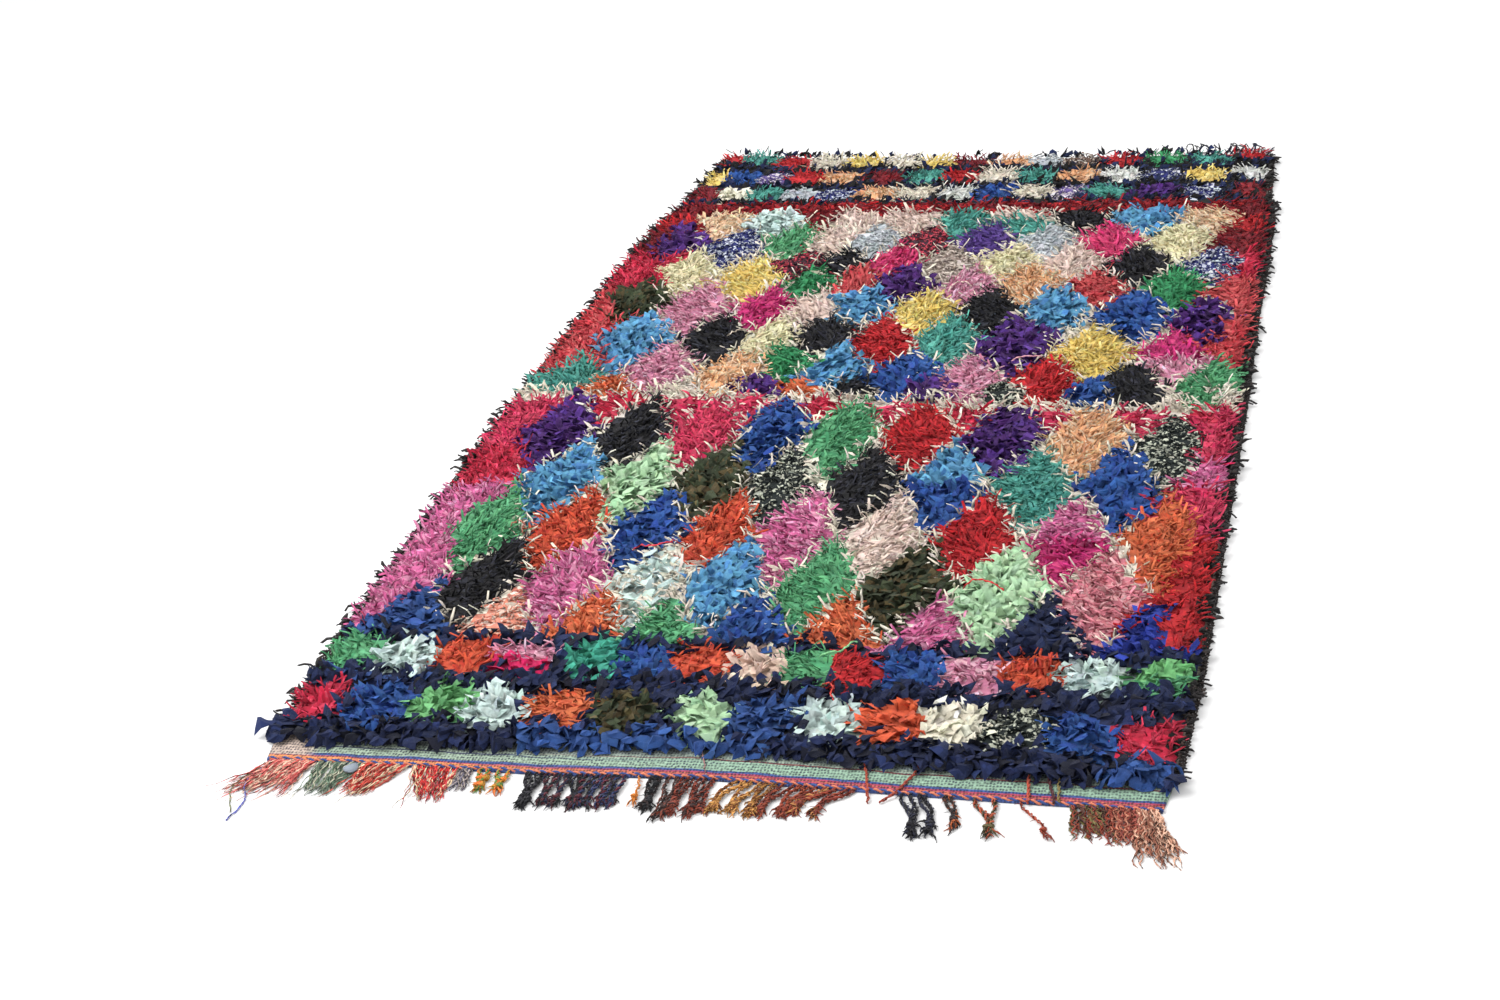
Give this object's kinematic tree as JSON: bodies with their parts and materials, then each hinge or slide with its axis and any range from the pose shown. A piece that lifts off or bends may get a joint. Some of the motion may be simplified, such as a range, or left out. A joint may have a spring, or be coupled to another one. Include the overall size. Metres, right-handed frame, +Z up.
{
  "type": "boucherouite rag rug",
  "caption": "Hand-knotted rag rug lying flat: thick cut-rag pile on a woven ground, with overcast long sides, a flatwoven kilim end and knotted warp fringes.",
  "frame": {"origin": "middle of the rug's outline, fringes included, on the floor under it", "axes": "+Z up out of the pile; +Y along the rug's length, from the fringed kilim end to the far end; +X to the right as seen from the kilim end"},
  "size_m": [1.368, 3.0356, 0.0326],
  "materials": {
    "woven_ground": "matt flatwoven wool and cotton, mint and grey-green speckle with thin dark red, blue and coral stripes at the kilim end",
    "rag_pile": "matt cut rags of jersey, knit and woven cotton in many colours: lozenges outlined in cream over rose and red, block borders over navy",
    "selvedge": "fuzzy brown-black goat hair and wool overcasting",
    "near_fringe": "spun and plied warp yarns in salmon, grey-green, red, ochre, rust and black, knotted near their tips",
    "far_fringe": "short dark and dusty pink warp yarns"
  },
  "bodies": {
    "root": {"woven_ground": "woven_ground", "rag_pile": "rag_pile", "selvedge_left": "selvedge", "selvedge_right": "selvedge", "near_fringe": "near_fringe", "far_fringe": "far_fringe"}
  },
  "joints": []
}
